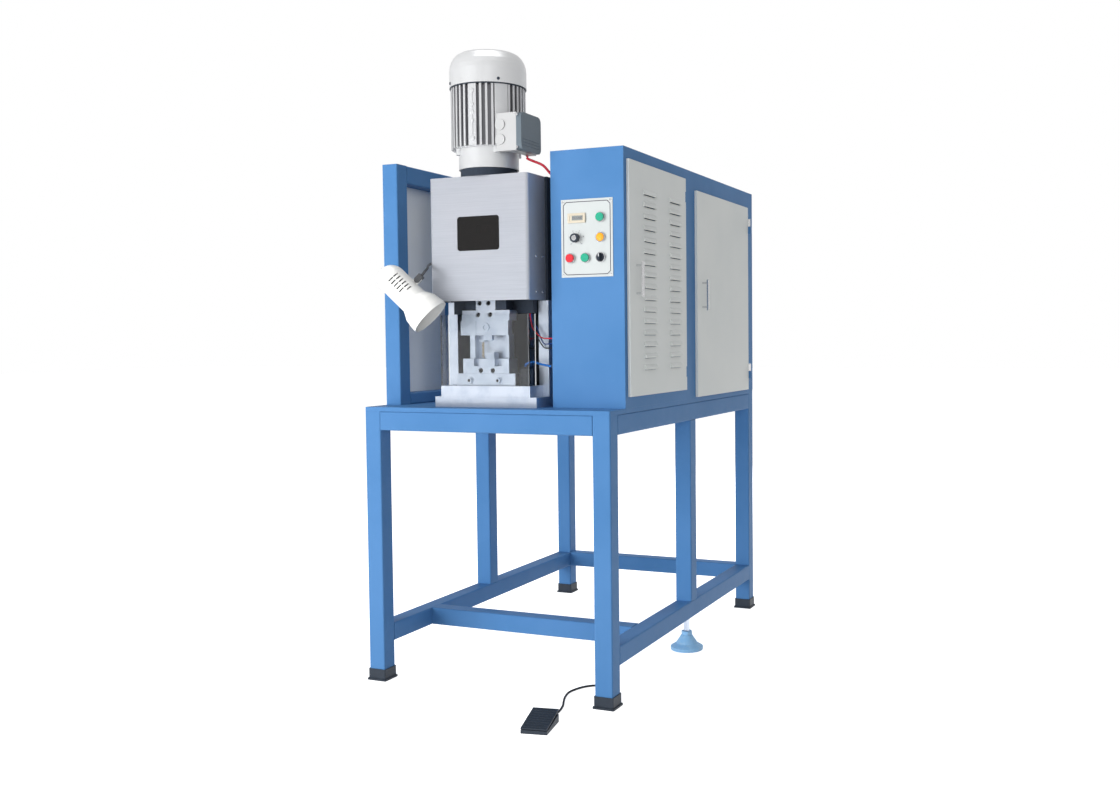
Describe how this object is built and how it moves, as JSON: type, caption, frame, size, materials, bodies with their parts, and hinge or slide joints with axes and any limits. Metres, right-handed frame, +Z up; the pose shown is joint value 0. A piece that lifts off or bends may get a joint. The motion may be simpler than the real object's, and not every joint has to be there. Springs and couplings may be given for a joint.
{
  "type": "terminal crimping machine",
  "caption": "Motor-driven eccentric crimping press with applicator, on a steel table with a louvred control cabinet, guard frame, work lamp and foot switch.",
  "frame": {"origin": "on the floor under the middle of the bounding box of the machine and its foot switch", "axes": "+X to the operator's right, +Y to the back, +Z up"},
  "size_m": [0.7736, 1.4584, 1.704],
  "materials": {
    "frame_paint": "satin blue enamel",
    "door_paint": "satin grey-beige enamel",
    "plate_paint": "satin white enamel",
    "foot_paint": "satin pale blue",
    "black_casting": "black painted",
    "machined_steel": "ground",
    "stainless": "brushed",
    "bright_metal": "polished",
    "red_casting": "painted",
    "motor_alloy": "silver painted",
    "rotor_steel": "turned",
    "spring_brass": "bright",
    "black_plastic": "matt",
    "neck_metal": "matt dark",
    "green_plastic": "gloss",
    "red_plastic": "gloss",
    "amber_plastic": "translucent",
    "clear_plastic": "clear",
    "cord_rubber": "matt",
    "hose_plastic": "satin",
    "cable_plastic": "satin"
  },
  "bodies": {
    "machine": {"table_legs": "frame_paint", "table_rails": "frame_paint", "table_top": "frame_paint", "side_stretchers": "frame_paint", "cross_stretchers": "frame_paint", "cabinet_front": "frame_paint", "cabinet_side_frame": "frame_paint", "cabinet_shell": "frame_paint", "hinge_frame_halves": "frame_paint", "guard_posts": "frame_paint", "guard_rails": "frame_paint", "guard_panel": "door_paint", "control_plate": "plate_paint", "head": "black_casting", "ram_guide": "black_casting", "bed_lower": "machined_steel", "bed_upper": "machined_steel", "columns": "machined_steel", "clamp_block": "machined_steel", "applicator_frame": "machined_steel", "crimp_anvil": "machined_steel", "press_cover": "stainless", "cover_screws": "stainless", "switch_bodies": "bright_metal", "motor_body": "motor_alloy", "motor_cowl": "motor_alloy", "motor_flange": "motor_alloy", "terminal_box": "motor_alloy", "component_plate": "motor_alloy", "applicator_spring": "spring_brass", "foot_caps": "black_plastic", "counter": "black_plastic", "control_gear": "black_plastic", "air_valve": "black_plastic", "cable_glands": "black_plastic", "pedal_base": "black_plastic", "lamp_neck": "neck_metal", "pilot_lens": "amber_plastic", "clear_panes": "clear_plastic", "pedal_cord": "cord_rubber", "air_hose": "hose_plastic", "motor_cable": "cable_plastic"},
    "louvred_door": {"louvred_door": "door_paint", "louvred_handle": "bright_metal"},
    "plain_door": {"plain_door": "door_paint", "plain_handle": "bright_metal", "hinge_door_halves": "bright_metal"},
    "ram": {"ram": "machined_steel", "applicator_slide": "machined_steel"},
    "crank": {"crankshaft": "red_casting"},
    "rotor": {"rotor": "rotor_steel"},
    "start_button": {"start_button": "green_plastic"},
    "jog_button": {"jog_button": "green_plastic"},
    "stop_button": {"stop_button": "red_plastic"},
    "selector": {"selector_knob": "black_plastic"},
    "speed_knob": {"speed_knob": "black_plastic"},
    "lamp": {"lamp_shade": "plate_paint"},
    "treadle": {"pedal_treadle": "black_plastic"},
    "levelling_foot": {"levelling_stud": "machined_steel", "levelling_base": "foot_paint"}
  },
  "joints": [
    {"name": "crank_turn", "type": "hinge", "parent": "machine", "child": "crank", "pos_m": [-0.03525, -0.39626, 1.2245], "axis": [0, 1, 0], "range_deg": [0, 180]},
    {"name": "ram_slide", "type": "slide", "parent": "machine", "child": "ram", "axis": [0, 0, -1], "range_m": [0, 0.03]},
    {"name": "rotor_turn", "type": "hinge", "parent": "machine", "child": "rotor", "pos_m": [-0.03525, -0.39626, 1.5], "axis": [0, 0, -1], "range_deg": [0, 600]},
    {"name": "louvred_door_hinge", "type": "hinge", "parent": "machine", "child": "louvred_door", "pos_m": [0.3629, 0.04188, 1.1], "axis": [0, 0, 1], "range_deg": [0, 110]},
    {"name": "plain_door_hinge", "type": "hinge", "parent": "machine", "child": "plain_door", "pos_m": [0.36605, 0.65904, 1.1], "axis": [0, 0, 1], "range_deg": [0, 110]},
    {"name": "start_button_press", "type": "slide", "parent": "machine", "child": "start_button", "axis": [0, 1, 0], "range_m": [0, 0.003], "stiffness_N_per_m": 400, "springref_m": -0.002},
    {"name": "jog_button_press", "type": "slide", "parent": "machine", "child": "jog_button", "axis": [0, 1, 0], "range_m": [0, 0.003], "stiffness_N_per_m": 400, "springref_m": -0.002},
    {"name": "stop_button_press", "type": "slide", "parent": "machine", "child": "stop_button", "axis": [0, 1, 0], "range_m": [0, 0.003], "stiffness_N_per_m": 400, "springref_m": -0.002},
    {"name": "selector_turn", "type": "hinge", "parent": "machine", "child": "selector", "pos_m": [0.29375, -0.40626, 1.153], "axis": [0, 1, 0], "range_deg": [0, 90]},
    {"name": "speed_knob_turn", "type": "hinge", "parent": "machine", "child": "speed_knob", "pos_m": [0.22328, -0.40626, 1.205], "axis": [0, 1, 0], "range_deg": [0, 270]},
    {"name": "lamp_tilt", "type": "hinge", "parent": "machine", "child": "lamp", "pos_m": [-0.18682, -0.52031, 1.10244], "axis": [-0.2706, 0.9627, 0], "range_deg": [-10, 30]},
    {"name": "pedal_press", "type": "hinge", "parent": "machine", "child": "treadle", "pos_m": [0.25154, -0.71563, 0.0075], "axis": [-0.9848, -0.1736, 0], "range_deg": [0, 6], "stiffness_Nm_per_rad": 1.5, "springref_deg": -8.59},
    {"name": "levelling_screw", "type": "slide", "parent": "machine", "child": "levelling_foot", "axis": [0, 0, -1], "range_m": [0, 0.02]}
  ],
  "couplings": [
    {"joint": "ram_slide", "follows": "crank_turn", "m_per_rad": 0.0095493},
    {"joint": "rotor_turn", "follows": "crank_turn", "ratio": 3.3333}
  ]
}
